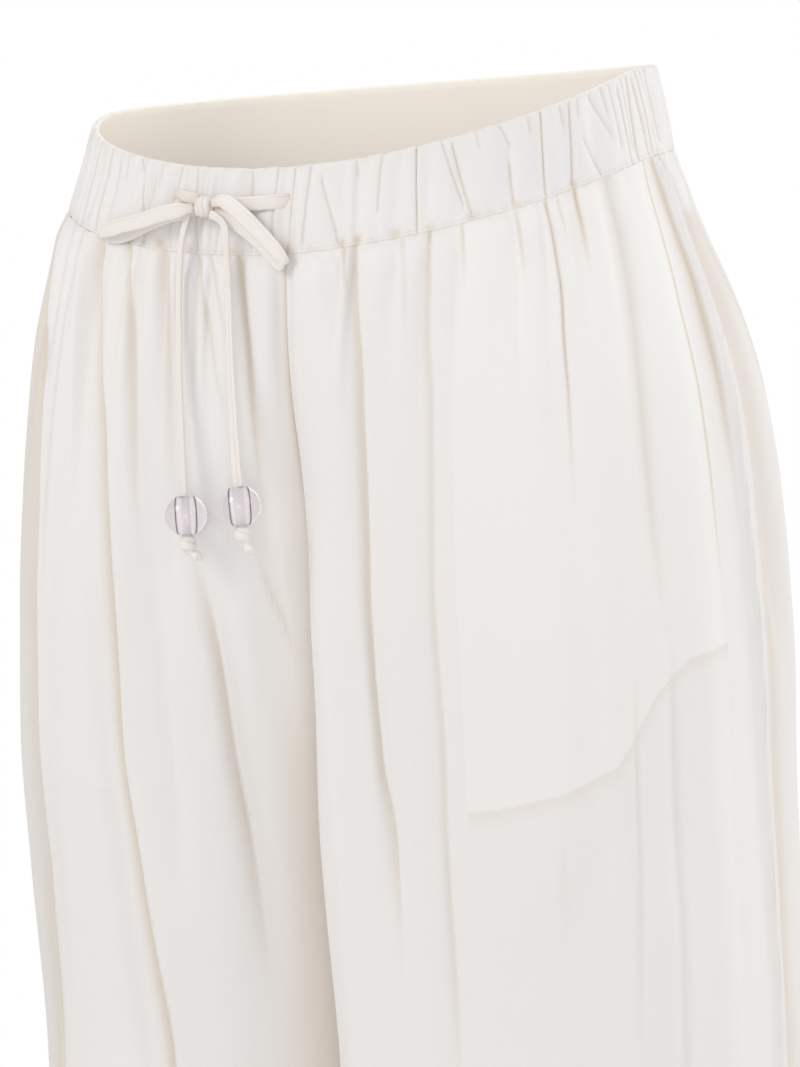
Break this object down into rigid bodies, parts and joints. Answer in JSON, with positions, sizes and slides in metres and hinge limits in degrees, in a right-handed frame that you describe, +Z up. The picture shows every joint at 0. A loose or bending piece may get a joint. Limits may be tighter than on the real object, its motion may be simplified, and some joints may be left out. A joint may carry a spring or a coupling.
{
  "type": "drawstring trousers",
  "caption": "Wide-legged cloth trousers with a gathered elastic waistband, side pockets and a drawstring bow that ends in glass beads.",
  "frame": {"origin": "middle of the waist, level with the top of the waistband at the side seams", "axes": "+Z up, from the hems to the waist; -Y the garment's front; +X the wearer's left"},
  "size_m": [0.4114, 0.2827, 1.043],
  "materials": {
    "ivory_crepe": "soft satin-backed crepe",
    "cream_string": "soft satin",
    "clear_glass": "clear, polished"
  },
  "bodies": {
    "root": {"waistband": "ivory_crepe", "front_left": "ivory_crepe", "front_right": "ivory_crepe", "back_left": "ivory_crepe", "back_right": "ivory_crepe", "pocket_bag_left": "ivory_crepe", "pocket_bag_right": "ivory_crepe", "bow_knot": "cream_string", "string_exit_side": "cream_string", "string_exit_centre": "cream_string", "bow_loop_side": "cream_string", "bow_loop_centre": "cream_string", "tail_side": "cream_string", "tail_centre": "cream_string", "end_knot_side": "cream_string", "end_knot_centre": "cream_string", "bead_side": "clear_glass", "bead_centre": "clear_glass"}
  },
  "joints": []
}
